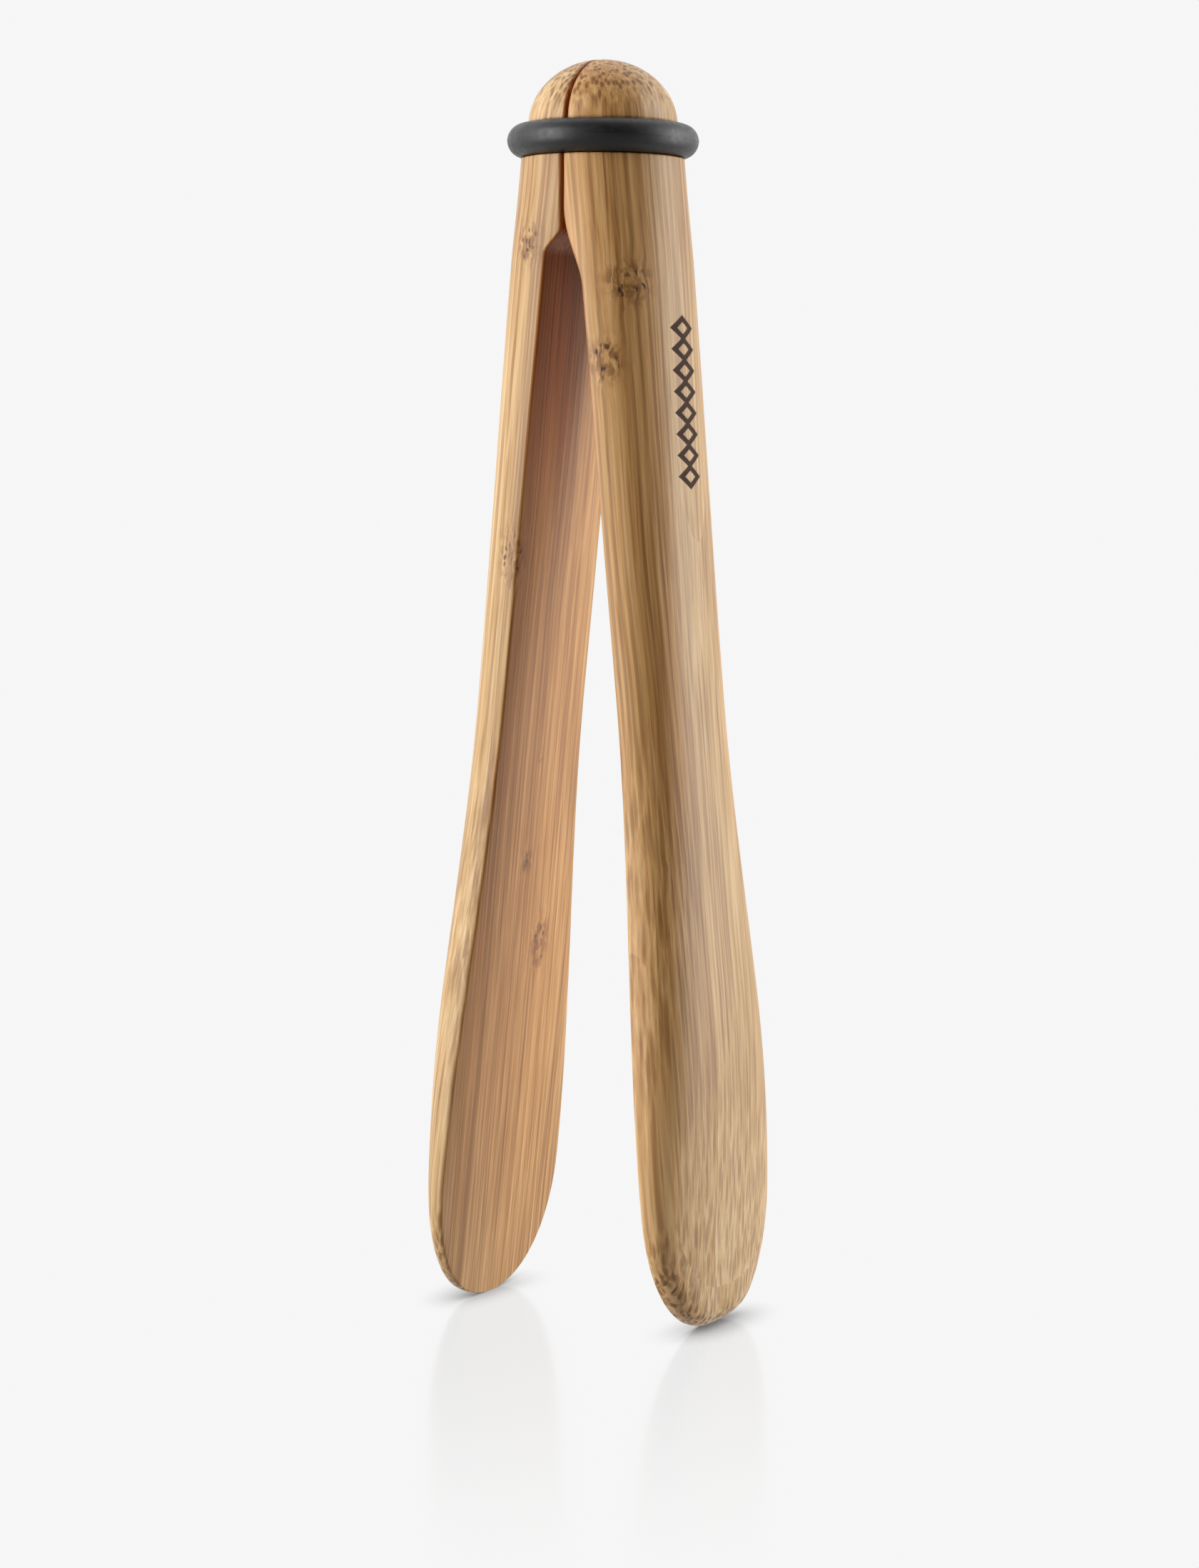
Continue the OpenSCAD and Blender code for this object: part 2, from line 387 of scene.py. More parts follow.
def lozenge_distance(mark, points):
    """Distance of each point from the middle of the nearest burnt line, less half the line's width.

    The row is a chain of diamonds |y|/half width + |z|/half height = 1, so the distance is that sum less 1,
    times the height of the triangle under one side.
    """
    across = points[..., 1] - mark.centre_y
    step = np.clip(np.round((mark.top_z - points[..., 2]) / mark.pitch), 0, mark.count - 1)
    along = points[..., 2] - (mark.top_z - step * mark.pitch)
    half_w, half_h = mark.width / 2, mark.height / 2
    sink = half_w * half_h / math.hypot(half_w, half_h)
    line = np.abs((np.abs(across) / half_w + np.abs(along) / half_h - 1) * sink)
    return line - mark.stroke / 2


def grid_piece(name, grid, poles=None, closed_rows=False):
    """Mesh object over a grid of closed loops. Two poles close its ends, or the last row meets the first."""
    rows, columns, _ = grid.shape
    index = np.arange(rows * columns).reshape(rows, columns)
    upper = np.roll(index, -1, axis=0) if closed_rows else index[1:]
    lower = index if closed_rows else index[:-1]
    quads = np.stack([lower, np.roll(lower, -1, 1), np.roll(upper, -1, 1), upper], axis=2).reshape(-1, 4)
    points = grid.reshape(-1, 3)
    faces = quads.tolist()
    if poles is not None:
        foot, top = len(points), len(points) + 1
        points = np.concatenate([points, np.array(poles)])
        first, final = index[0], index[-1]
        faces += np.stack([np.full(columns, foot), np.roll(first, -1), first], axis=1).tolist()
        faces += np.stack([np.full(columns, top), final, np.roll(final, -1)], axis=1).tolist()
    mesh = bpy.data.meshes.new(name)
    mesh.from_pydata(points.tolist(), [], faces)
    mesh.polygons.foreach_set("use_smooth", np.ones(len(mesh.polygons), bool))
    mesh.update()
    piece = bpy.data.objects.new(name, mesh)
    bpy.context.scene.collection.objects.link(piece)
    return piece


def point_values(piece, name, values):
    """Stores one number per vertex under the given name."""
    attribute = piece.data.attributes.new(name, "FLOAT", "POINT")
    attribute.data.foreach_set("value", values.astype(np.float32))


def spots(points, centres):
    """Sum of soft round spots exp(-d^2), with d the distance from a centre in units of its three radii."""
    total = np.zeros(len(points))
    for centre, radii, strength in centres:
        d = (points - np.array(centre) * MM) / (np.array(radii) * MM)
        total += strength * np.exp(-(d**2).sum(axis=1))
    return np.clip(total, 0, 1)


# For the right arm (1) and the left (-1): how warm the cane is on its outer face, flanks and inner face. At 0
# it takes the pale cast, which is painted sheen: paler and less saturated on the right arm's outer face,
# where the right softbox falls
WARMTH_AND_SHEEN = {1: (0.0, 1.0, 0.6), -1: (0.0, 0.05, 0.7)}
# The same for the number that picks its strips, how much darker its neck is and how much paler its foot,
# which is painted bounce light from the floor
CANE_AND_BOUNCE = {1: (3.0, 0.08, 0.24), -1: (11.0, 0.22, 0.0)}
# Painted shade on the inner faces under the heads, where the arms shade each other, in millimetres: up from
# this height, and back from this Y
SHADE_LOW, SHADE_RISE = 165, 45
SHADE_FRONT, SHADE_FADE = 6, 12
# The mark is burnt only this far out from the inner face, and its edge slopes over this many millimetres
MARK_CLEAR = 5 * MM
MARK_SLOPE = 0.3
# Node scars of the cane on each arm: middle, radii and strength, in millimetres
RIGHT_SCARS = (
    ((13.6, -13.4, 222.3), (5.0, 5.0, 4.6), 1.0),
    ((10.4, -16.5, 206.0), (3.6, 3.4, 4.8), 1.0),
    ((28.5, -17.5, 101.0), (3.0, 4.0, 5.0), 0.35),
)
LEFT_SCARS = (
    ((-8.6, -16.2, 231.0), (3.2, 3.6, 4.2), 1.0),
    ((-12.2, -17.2, 165.0), (2.8, 3.2, 5.6), 1.0),
    ((-17.2, -1.6, 97.5), (3.0, 2.6, 3.0), 0.7),
    ((-19.5, 7.0, 78.0), (3.0, 3.2, 6.0), 0.9),
    ((-15.2, 0.5, 121.0), (3.0, 1.4, 1.6), 0.6),
)
# Steep, wavy grain near the tip of the right arm
RIGHT_WAVES = (((29.5, -19.0, 10.0), (6.0, 7.0, 10.0), 0.5),)


def make_arm(name, node, body, side):
    """One arm: side is 1 for the right arm and -1 for the left, which is turned half a turn about Z."""
    settings = bpy.context.scene
    shape, mark = settings.tongs_arm, settings.tongs_mark
    grid, flank, inside = arm_grid(shape, side)
    tip_x = float(jaw_x(0.0))
    poles = [[tip_x, 0, 0], [ARM_LOW.x, 0, HIGHEST.z]]
    turn = np.array([side, side, 1])
    piece = grid_piece(name, grid * turn, np.array(poles) * turn)
    points = np.concatenate([grid.reshape(-1, 3), np.array(poles)])

    burn = np.full(len(points), 1.0)
    if side > 0:
        outside = points[:, 0] > inner_x(shape, side, points[:, 2]) + MARK_CLEAR
        burn = np.where(outside, lozenge_distance(mark, points) / MM, burn)
        sunk = points.copy()
        sunk[:, 0] -= mark.depth * ease(0.5 - burn / MARK_SLOPE)
        piece.data.vertices.foreach_set("co", sunk.ravel())
        piece.data.update()
    placed = points * turn
    # the pale cast on the outer faces is painted sheen, the warm cast on the flanks is the cane's tone
    outer_cast, flank_cast, inner_cast = WARMTH_AND_SHEEN[side]
    cast = outer_cast + (flank_cast - outer_cast) * flank * (1 - inside)
    cast += (inner_cast - outer_cast) * inside
    # painted shade: the inner faces darken and redden high in the throat, towards the front, where the arms
    # shade each other
    high_up = ease((grid[..., 2] / MM - SHADE_LOW) / SHADE_RISE)
    shade_in_throat = high_up * ease((SHADE_FRONT - side * grid[..., 1] / MM) / SHADE_FADE)
    at_poles = [0.0, 0.0]
    point_values(piece, "warmth_and_sheen", np.append(cast.ravel(), at_poles))
    point_values(piece, "painted_throat_shade", np.append((shade_in_throat * inside).ravel(), at_poles))
    point_values(piece, "burn", burn)
    point_values(piece, "scar", spots(placed, RIGHT_SCARS if side > 0 else LEFT_SCARS))
    point_values(piece, "wave", spots(placed, RIGHT_WAVES if side > 0 else ()))
    piece.data.materials.append(bamboo(name + "_bamboo", side * JAW_ANGLE, *CANE_AND_BOUNCE[side]))
    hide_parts(node)
    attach(piece, body)


# ---------------------------------------------------------------- materials

# Grain of the bamboo: cells per metre across the fibres, through them and along them
WOBBLE, SWIRL = (25, 25, 14), (260, 260, 150)
BROAD, FIBRE, FINE = (70, 70, 9), (900, 900, 18), (2600, 2600, 60)
SPECKS, PITS, BLOTCH, STREAKS = (1500, 1500, 60), (600, 600, 420), (600, 600, 380), (620, 620, 70)
BUNDLES_ALONG = 7
# How far the grain sways everywhere, and swirls at a scar or a wave
SWAY, SWIRL_REACH = 2.4 * MM, 7.0 * MM
# How far off the origin two layers of strips meet, and the share of a strip by which each layer is shifted
LAYER_SHIFT, STRIP_SHIFT = 1.5 * MM, 0.37
# Strength of a bundle's colour where it runs along the surface, and what is added on end grain
BUNDLE_SIDE, BUNDLE_END = 0.5, 0.4
# Casts that multiply the wood's colour: pale outer faces that are painted sheen, warm flanks, and painted
# shade under the heads where the arms shade each other
PALE_SHEEN_CAST, WARM_CAST, PAINTED_SHADE_CAST = (1.04, 1.15, 1.23, 1.0), (1.16, 1.11, 0.99, 1.0), (0.88, 0.62, 0.4, 1.0)


class Nodes:
    """Short calls that add nodes to one tree. Each returns an output socket."""

    def __init__(self, tree):
        self.tree = tree
        tree.nodes.clear()

    def add(self, kind, inputs=None, **settings):
        node = self.tree.nodes.new(kind)
        for key, value in settings.items():
            setattr(node, key, value)
        for key, value in (inputs or {}).items():
            if isinstance(value, bpy.types.NodeSocket):
                self.tree.links.new(value, node.inputs[key])
            else:
                node.inputs[key].default_value = value
        return node

    def math(self, operation, a, b=0.0, clamp=False):
        return self.add("ShaderNodeMath", {0: a, 1: b}, operation=operation, use_clamp=clamp).outputs[0]

    def rising(self, value, gain, start):
        """start + gain * value"""
        node = self.add("ShaderNodeMath", {0: value, 1: gain, 2: start}, operation="MULTIPLY_ADD")
        return node.outputs[0]

    def centred(self, value, gain):
        """(value - 0.5) * gain"""
        return self.math("MULTIPLY", self.math("SUBTRACT", value, 0.5), gain)

    def vector(self, operation, a, b=(0, 0, 0)):
        node = self.add("ShaderNodeVectorMath", {0: a, 1: b}, operation=operation)
        return node.outputs["Value" if operation in ("DOT_PRODUCT", "LENGTH") else "Vector"]

    def scaled(self, vector, factors):
        return self.vector("MULTIPLY", vector, factors)

    def step(self, value, low, high, to_low=0.0, to_high=1.0):
        node = self.add(
            "ShaderNodeMapRange", {"Value": value, 1: low, 2: high, 3: to_low, 4: to_high},
            interpolation_type="SMOOTHSTEP",
        )
        return node.outputs[0]

    def noise(self, vector, scale=1.0, detail=2.0, roughness=0.5, distortion=0.0):
        node = self.add(
            "ShaderNodeTexNoise",
            {
                "Vector": vector, "Scale": scale, "Detail": detail,
                "Roughness": roughness, "Distortion": distortion,
            },
        )
        return node.outputs["Fac"]

    def cells(self, vector, randomness=1.0):
        node = self.add("ShaderNodeTexVoronoi", {"Vector": vector, "Scale": 1.0, "Randomness": randomness})
        return node.outputs["Distance"]

    def mix(self, factor, a, b, blend="MIX"):
        node = self.add("ShaderNodeMix", {0: factor, 6: a, 7: b}, data_type="RGBA", blend_type=blend)
        return node.outputs[2]

    def attribute(self, name):
        return self.add("ShaderNodeAttribute", attribute_name=name).outputs["Fac"]


def rgba(colour):
    return (*colour, 1.0)


def principled(nodes, colour, roughness, height, bump_distance, bump_strength):
    """Principled surface with a bump, wired to the output."""
    bump = nodes.add(
        "ShaderNodeBump", {"Height": height, "Distance": bump_distance, "Strength": bump_strength}
    )
    shader = nodes.add(
        "ShaderNodeBsdfPrincipled",
        {"Base Color": colour, "Roughness": roughness, "Normal": bump.outputs["Normal"]},
    )
    nodes.add("ShaderNodeOutputMaterial", {"Surface": shader.outputs["BSDF"]})


def bamboo(name, lean, seed, neck, foot):
    """Laminated bamboo whose fibres run along an arm that leans by the given angle.

    Neck and foot say how much darker and paler it is there, the paler foot being painted bounce light from
    the floor, and seed picks the tones of its strips.
    Strips of cane are glued side by side, each with its own tone. Fibre bundles run the whole length of a
    strip, so they show as fine streaks along the arm and as dots on the end grain of the dome.
    """
    wood = bpy.context.scene.tongs_wood
    material = bpy.data.materials.new(name)
    material.use_nodes = True
    n = Nodes(material.node_tree)

    place = n.add("ShaderNodeTexCoord")
    along = n.add("ShaderNodeMapping", {"Vector": place.outputs["Object"], "Rotation": (0, lean, 0)})
    wobble = n.noise(n.scaled(along.outputs["Vector"], WOBBLE), detail=1.0)
    scar, wave, burn = n.attribute("scar"), n.attribute("wave"), n.attribute("burn")
    sway = n.centred(wobble, SWAY)
    swirl = n.centred(n.noise(n.scaled(along.outputs["Vector"], SWIRL), detail=2.0), SWIRL_REACH)
    swirl = n.math("MULTIPLY", swirl, n.math("MAXIMUM", scar, wave))
    shift = n.add("ShaderNodeCombineXYZ", {0: n.math("ADD", sway, swirl), 1: n.math("ADD", sway, swirl)})
    grain = n.vector("ADD", along.outputs["Vector"], shift.outputs[0])

    # which strip of cane a point lies in, and that strip's own number
    part = n.add("ShaderNodeSeparateXYZ", {0: along.outputs["Vector"]})
    layer = n.math("FLOOR", n.math("DIVIDE", n.math("ADD", part.outputs[0], LAYER_SHIFT), wood.strip_t))
    shifted = n.math("MULTIPLY", layer, STRIP_SHIFT)
    row = n.math("ADD", n.math("DIVIDE", part.outputs[1], wood.strip_w), shifted)
    strip = n.math("FLOOR", row)
    own = n.add(
        "ShaderNodeTexWhiteNoise",
        {"Vector": n.add("ShaderNodeCombineXYZ", {0: strip, 1: layer, 2: seed}).outputs[0]},
        noise_dimensions="3D",
    )
    grain = n.vector("ADD", grain, n.scaled(own.outputs["Color"], (0.0, 0.0, 0.4)))

    broad = n.noise(n.scaled(grain, BROAD), detail=2.0)
    fibre = n.noise(n.scaled(grain, FIBRE), detail=3.0, roughness=0.6)
    fine = n.noise(n.scaled(grain, FINE), detail=2.0)
    pitch = 1 / wood.bundle_pitch
    bundle = n.step(n.cells(n.scaled(grain, (pitch, pitch, BUNDLES_ALONG)), 0.85), 0.62, 0.2)
    specks = n.step(n.noise(n.scaled(grain, SPECKS), detail=1.0), 0.62, 0.74)

    # end grain shows where the surface faces along the fibres
    facing = n.vector("DOT_PRODUCT", place.outputs["Normal"], (-math.sin(lean), 0, math.cos(lean)))
    end = n.step(n.math("ABSOLUTE", facing), 0.08, 0.55)

    tone = n.centred(own.outputs["Value"], 0.3)
    for part_of_tone, gain in ((broad, 0.75), (fibre, 1.5), (fine, 0.8)):
        tone = n.math("ADD", tone, n.centred(part_of_tone, gain))
    tone = n.math("ADD", tone, n.step(part.outputs[2], 0.2, 0.235, 0.5, 0.5 - neck))
    tone = n.math("ADD", tone, n.step(part.outputs[2], NECK_Z, RING_Z, 0.0, neck))
    # painted bounce light from the floor: paler towards the tip, by foot
    tone = n.math("ADD", tone, n.step(part.outputs[2], 0.015, 0.06, foot, 0.0), clamp=True)
    ramp = n.add("ShaderNodeValToRGB", {"Fac": tone})
    ramp.color_ramp.elements[0].color = rgba(wood.dark)
    ramp.color_ramp.elements[1].color = rgba(wood.light)
    ramp.color_ramp.elements.new(0.5).color = rgba(wood.middle)
    # painted sheen: the pale cast on the outer faces
    cast = n.mix(n.attribute("warmth_and_sheen"), PALE_SHEEN_CAST, WARM_CAST)
    # painted shade in the throat: darker and redder
    cast = n.mix(n.attribute("painted_throat_shade"), cast, PAINTED_SHADE_CAST)
    base = n.scaled(ramp.outputs["Color"], cast)

    amount = n.math("MULTIPLY", bundle, n.rising(end, BUNDLE_END, BUNDLE_SIDE))
    colour = n.mix(amount, base, rgba(wood.bundle))
    colour = n.mix(n.math("MULTIPLY", specks, 0.22), colour, rgba(wood.bundle))

    # node scars: a darker patch with small round pits
    pits = n.step(n.cells(n.scaled(grain, PITS), 1.0), 0.36, 0.16)
    blotch = n.noise(n.scaled(grain, BLOTCH), detail=2.0)
    patch = n.math("MULTIPLY", n.step(scar, 0.0, 0.7), n.step(blotch, 0.4, 0.62))
    colour = n.mix(n.math("MULTIPLY", patch, 0.75), colour, rgba(wood.bundle))
    pit = n.math("MULTIPLY", pits, n.step(scar, 0.2, 0.7))
    colour = n.mix(n.math("MULTIPLY", pit, 0.85), colour, rgba(wood.scar))
    streaks = n.step(n.noise(n.scaled(grain, STREAKS), detail=2.0, distortion=0.6), 0.5, 0.62)
    colour = n.mix(n.math("MULTIPLY", n.math("MULTIPLY", streaks, wave), 1.2), colour, rgba(wood.bundle))

    scorch = n.step(burn, 0.32, 0.0)
    line = n.step(burn, 0.07, -0.07)
    colour = n.mix(n.math("MULTIPLY", scorch, 0.25), colour, rgba(wood.bundle))
    colour = n.mix(n.math("MULTIPLY", line, 0.95), colour, rgba(wood.burnt))

    rough = n.rising(fibre, 0.16, wood.roughness - 0.08)
    rough = n.math("ADD", rough, n.math("MULTIPLY", line, 0.4), clamp=True)
    height = n.math("ADD", n.math("MULTIPLY", fibre, 0.6), n.math("MULTIPLY", fine, 0.5))
    height = n.math("SUBTRACT", height, n.math("MULTIPLY", bundle, 0.25))
    height = n.math("SUBTRACT", height, pit)
    principled(n, colour, rough, height, 0.12 * MM, 0.5)
    return material


def dowel_wood():
    """Pale turned hardwood with its fibres along Y."""
    material = bpy.data.materials.new("dowel_hardwood")
    material.use_nodes = True
    n = Nodes(material.node_tree)
    place = n.add("ShaderNodeTexCoord")
    grain = n.scaled(place.outputs["Object"], (1400, 30, 1400))
    fibre = n.noise(grain, detail=3.0)
    rings = n.noise(n.scaled(place.outputs["Object"], (420, 12, 420)), detail=1.0)
    tone = n.math("ADD", n.math("MULTIPLY", fibre, 0.6), n.math("MULTIPLY", rings, 0.4))
    colour = n.mix(n.step(tone, 0.35, 0.65), rgba(linear("#b48a58")), rgba(linear("#d8b88a")))
    rough = n.step(fibre, 0.3, 0.7, 0.5, 0.7)
    principled(n, colour, rough, fibre, 0.05 * MM, 0.5)
    return material


def rubber():
    """Black rubber: fine grain, faint bloom in patches and a few rubbed spots."""
    finish = bpy.context.scene.tongs_rubber
    material = bpy.data.materials.new("ring_rubber")
    material.use_nodes = True
    n = Nodes(material.node_tree)
    place = n.add("ShaderNodeTexCoord").outputs["Object"]
    bloom = n.noise(n.scaled(place, (90, 90, 160)), detail=3.0)
    grain = n.noise(n.scaled(place, (4200, 4200, 4200)), detail=1.0)
    rubbed = n.noise(n.scaled(place, (700, 700, 900)), detail=2.0)
    pale = tuple(min(1.0, 1.7 * v) for v in finish.colour)
    colour = n.mix(n.step(bloom, 0.4, 0.7), rgba(finish.colour), rgba(pale))
    rough = n.step(rubbed, 0.3, 0.7, finish.roughness - 0.05, finish.roughness + 0.07)
    height = n.math("ADD", n.math("MULTIPLY", grain, 0.5), n.math("MULTIPLY", rubbed, 0.5))
    principled(n, colour, rough, height, 0.04 * MM, 0.35)
    return material


# ---------------------------------------------------------------- operators


class TONGS_OT_left_arm(bpy.types.Operator):
    """Make the left bamboo arm"""

    bl_idname = "tongs.left_arm"
    bl_label = "Left arm"

    def execute(self, context):
        make_arm("left_arm_wood", "left_arm", "left_arm", -1)
        return {"FINISHED"}


class TONGS_OT_right_arm(bpy.types.Operator):
    """Make the right bamboo arm, with its burnt mark"""

    bl_idname = "tongs.right_arm"
    bl_label = "Right arm"

    def execute(self, context):
        make_arm("right_arm_wood", "right_arm", "right_arm", 1)
        return {"FINISHED"}


class TONGS_OT_ring(bpy.types.Operator):
    """Make the rubber ring"""

    bl_idname = "tongs.ring"
    bl_label = "Rubber ring"

    def execute(self, context):
        finish = context.scene.tongs_rubber
        round_z = np.linspace(0, 2 * math.pi, 288, endpoint=False)[None, :]
        section = np.linspace(0, 2 * math.pi, 96, endpoint=False)[:, None]
        # a torus whose section stands proud by the parting line at its outer and inner middle
        line = finish.flash * np.exp(-((np.sin(section) / 0.06) ** 2)) * (np.cos(section) > 0)
        r = RING_SECTION / 2 + line
        out = RING_MID_R + r * np.cos(section)
        grid = np.stack(
            [out * np.cos(round_z), out * np.sin(round_z), RING_Z + r * np.sin(section) + 0 * round_z], axis=2
        )
        piece = grid_piece("rubber_ring", grid, closed_rows=True)
        piece.data.materials.append(rubber())
        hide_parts("ring")
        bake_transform(piece)
        return {"FINISHED"}


class TONGS_OT_dowel(bpy.types.Operator):
    """Make the hidden dowel, with its chamfered ends"""

    bl_idname = "tongs.dowel"
    bl_label = "Pivot dowel"

    def execute(self, context):
        r = (DOWEL_HIGH.z - DOWEL_LOW.z) / 2
        chamfer = 0.5 * MM
        # a lathe profile from one end to the other: flat end, chamfer, barrel, chamfer, flat end
        barrel = np.linspace(DOWEL_LOW.y + chamfer, DOWEL_HIGH.y - chamfer, 12)
        y = np.concatenate([[DOWEL_LOW.y] * 2, barrel, [DOWEL_HIGH.y] * 2])[:, None]
        radius = np.full_like(y, r)
        radius[[0, -1]] = 0.3 * r
        radius[[1, -2]] = r - chamfer
        turn = np.linspace(0, 2 * math.pi, 64, endpoint=False)[None, :]
        grid = np.stack([radius * np.sin(turn), y + 0 * turn, PIVOT_Z + radius * np.cos(turn)], axis=2)
        poles = [[0, DOWEL_LOW.y, PIVOT_Z], [0, DOWEL_HIGH.y, PIVOT_Z]]
        piece = grid_piece("pivot_dowel_wood", grid, poles)
        piece.data.materials.append(dowel_wood())
        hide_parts("pivot_dowel")
        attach(piece, "left_arm")
        return {"FINISHED"}


def round_place(azimuth, distance, height):
    """Point at a distance from the Z axis, at an angle from the front (-Y) towards +X."""
    return Vector((distance * math.sin(azimuth), -distance * math.cos(azimuth), height))


# Both softboxes: distance from the Z axis, height, the height that they aim at, and their size
SOFTBOX_DISTANCE, SOFTBOX_HEIGHT, SOFTBOX_AIM = 0.75, 0.30, 0.13
SOFTBOX_WIDTH, SOFTBOX_TALL = 0.45, 0.9
LEFT_AZIMUTH, RIGHT_AZIMUTH = math.radians(-38), math.radians(125)
FLOOR_HALF = 6.0
FLOOR_TINT = (1.0, 0.94, 0.9)
CONTACT_REACH = 9 * MM
GLOSS_NEAR, GLOSS_FAR = 0.02, 0.2


def softbox(name, azimuth, power, lit):
    """Area light turned towards the tongs, which lights only the pieces in the given collection."""
    lamp = bpy.data.lights.new(name, "AREA")
    lamp.shape = "RECTANGLE"
    lamp.size, lamp.size_y = SOFTBOX_WIDTH, SOFTBOX_TALL
    lamp.energy = power
    box = bpy.data.objects.new(name, lamp)
    bpy.context.scene.collection.objects.link(box)
    box.location = round_place(azimuth, SOFTBOX_DISTANCE, SOFTBOX_HEIGHT)
    away = box.location - Vector((0, 0, SOFTBOX_AIM))
    box.rotation_euler = away.to_track_quat("Z", "Y").to_euler()
    box.visible_camera = False
    box.light_linking.receiver_collection = lit


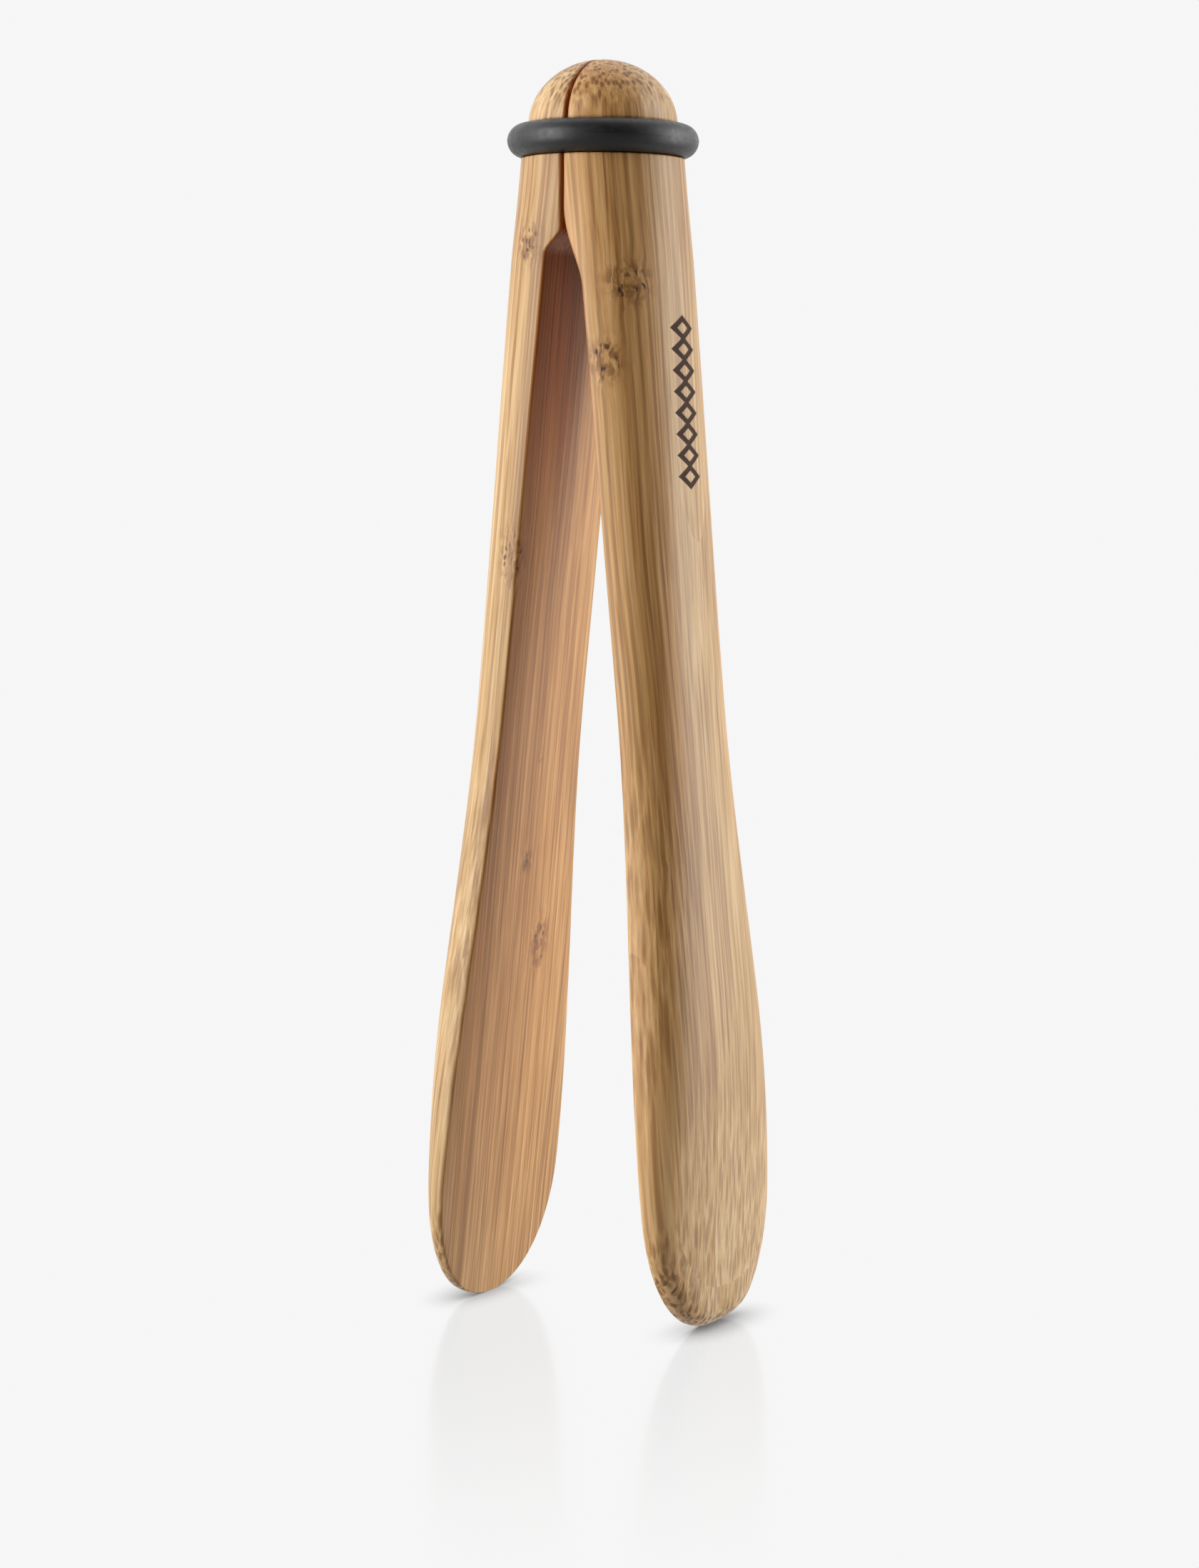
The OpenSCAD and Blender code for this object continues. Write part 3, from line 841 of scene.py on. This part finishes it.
class TONGS_OT_stage(bpy.types.Operator):
    """Lay the floor, hang the lights and set the camera"""

    bl_idname = "tongs.stage"
    bl_label = "Stage"

    def execute(self, context):
        stage = context.scene.tongs_stage
        lit = bpy.data.collections.new("tongs_pieces")
        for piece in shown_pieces():
            lit.objects.link(piece)
        self.floor(stage)
        self.surroundings(context.scene, stage)
        softbox("left_softbox", LEFT_AZIMUTH, stage.left_power, lit)
        softbox("right_softbox", RIGHT_AZIMUTH, stage.right_power, lit)
        self.camera(context.scene, stage)
        return {"FINISHED"}

    def floor(self, stage):
        """Floor that glows by itself, with a weak gloss and a contact shadow under the tips."""
        mesh = bpy.data.meshes.new("floor")
        corners = [(x * FLOOR_HALF, y * FLOOR_HALF, 0) for x, y in ((-1, -1), (1, -1), (1, 1), (-1, 1))]
        mesh.from_pydata(corners, [], [(0, 1, 2, 3)])
        floor = bpy.data.objects.new("floor", mesh)
        bpy.context.scene.collection.objects.link(floor)
        floor.visible_diffuse = False
        floor.visible_glossy = False
        material = bpy.data.materials.new("pale_floor")
        material.use_nodes = True
        n = Nodes(material.node_tree)
        # the gloss fades out away from the tongs, and the floor glows less by what the bright room adds to it
        place = n.add("ShaderNodeTexCoord").outputs["Object"]
        near = n.step(n.vector("LENGTH", place), GLOSS_NEAR, GLOSS_FAR, 1.0, 0.0)
        tint = n.vector("SCALE", tuple(stage.gloss * v for v in FLOOR_TINT))
        n.tree.links.new(near, tint.node.inputs["Scale"])
        own = n.vector("SUBTRACT", (stage.pale,) * 3, n.scaled(tint, (stage.back_high,) * 3))
        open_sky = n.add("ShaderNodeAmbientOcclusion", {"Distance": CONTACT_REACH}, samples=16).outputs["AO"]
        shade = n.step(open_sky, 0.0, 1.0, 1 - stage.contact, 1.0)
        glow = n.add("ShaderNodeEmission", {"Color": own, "Strength": shade})
        shine = n.add("ShaderNodeBsdfGlossy", {"Color": tint, "Roughness": 0.14})
        both = n.add("ShaderNodeAddShader", {0: glow.outputs[0], 1: shine.outputs[0]})
        n.add("ShaderNodeOutputMaterial", {"Surface": both.outputs[0]})
        mesh.materials.append(material)
        floor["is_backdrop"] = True

    def surroundings(self, scene, stage):
        """Room whose light depends on direction. The camera itself sees an even background instead."""
        world = bpy.data.worlds.new("studio")
        world.use_nodes = True
        scene.world = world
        n = Nodes(world.node_tree)
        behind = round_place(stage.azimuth, -1.0, 0.0)
        direction = n.add("ShaderNodeTexCoord").outputs["Generated"]
        rear = n.step(n.vector("DOT_PRODUCT", direction, tuple(behind)), -0.4, 0.4)
        height = n.add("ShaderNodeSeparateXYZ", {0: direction}).outputs[2]
        back = n.step(height, -0.3, 0.1, stage.back_low, stage.back_high)
        front = n.step(height, -0.3, 0.1, stage.front_low, 0.0)
        from_front = n.math("MULTIPLY", n.math("SUBTRACT", 1.0, rear), front)
        level = n.math("ADD", n.math("MULTIPLY", rear, back), from_front)
        room = n.add("ShaderNodeBackground", {"Color": (1, 1, 1, 1), "Strength": level})
        paper = n.add("ShaderNodeBackground", {"Color": (1, 1, 1, 1), "Strength": stage.pale})
        seen = n.add("ShaderNodeLightPath").outputs["Is Camera Ray"]
        both = n.add("ShaderNodeMixShader", {0: seen, 1: room.outputs[0], 2: paper.outputs[0]})
        n.add("ShaderNodeOutputWorld", {"Surface": both.outputs[0]})
        scene.view_settings.view_transform = "Standard"

    def camera(self, scene, stage):
        """Camera on a circle round the Z axis, looking in, then pitched down and rolled."""
        lens = bpy.data.cameras.new("camera")
        lens.sensor_width = 36.0
        lens.lens = stage.lens
        lens.clip_start, lens.clip_end = 0.01, 100.0
        camera = bpy.data.objects.new("camera", lens)
        scene.collection.objects.link(camera)
        side = Vector((math.cos(stage.azimuth), math.sin(stage.azimuth), 0))
        level = Vector((-math.sin(stage.azimuth), math.cos(stage.azimuth), 0))
        forward = level * math.cos(stage.pitch) - Vector((0, 0, 1)) * math.sin(stage.pitch)
        up = side.cross(forward)
        right = side * math.cos(stage.roll) + up * math.sin(stage.roll)
        turn = Matrix((right, right.cross(forward), -forward)).transposed()
        camera.matrix_world = Matrix.LocRotScale(
            round_place(stage.azimuth, stage.distance, stage.height), turn.to_quaternion(), None
        )
        scene.camera = camera


class TONGS_PT_panel(bpy.types.Panel):
    """Buttons for the pieces and their settings"""

    bl_label = "Ring Tongs"
    bl_idname = "TONGS_PT_panel"
    bl_space_type = "VIEW_3D"
    bl_region_type = "UI"
    bl_category = "Ring Tongs"

    def draw(self, context):
        for group in SETTINGS:
            box = self.layout.box()
            box.label(text=SETTINGS[group].__doc__)
            for name in SETTINGS[group].__annotations__:
                box.prop(getattr(context.scene, group), name)
        for operator in OPERATORS:
            self.layout.operator(operator.bl_idname)


SETTINGS = {
    "tongs_arm": TongsArmShape,
    "tongs_mark": TongsMark,
    "tongs_wood": TongsWood,
    "tongs_rubber": TongsRubber,
    "tongs_stage": TongsStage,
}
OPERATORS = (TONGS_OT_left_arm, TONGS_OT_right_arm, TONGS_OT_ring, TONGS_OT_dowel, TONGS_OT_stage)


def register():
    for kind in (*SETTINGS.values(), *OPERATORS, TONGS_PT_panel):
        bpy.utils.register_class(kind)
    for name, kind in SETTINGS.items():
        setattr(bpy.types.Scene, name, PointerProperty(type=kind))


def unregister():
    for name in SETTINGS:
        delattr(bpy.types.Scene, name)
    for kind in reversed((*SETTINGS.values(), *OPERATORS, TONGS_PT_panel)):
        bpy.utils.unregister_class(kind)


def main():
    register()
    bpy.ops.tongs.left_arm()
    bpy.ops.tongs.right_arm()
    bpy.ops.tongs.ring()
    bpy.ops.tongs.dowel()
    bpy.ops.tongs.stage()


if __name__ == "__main__":
    main()
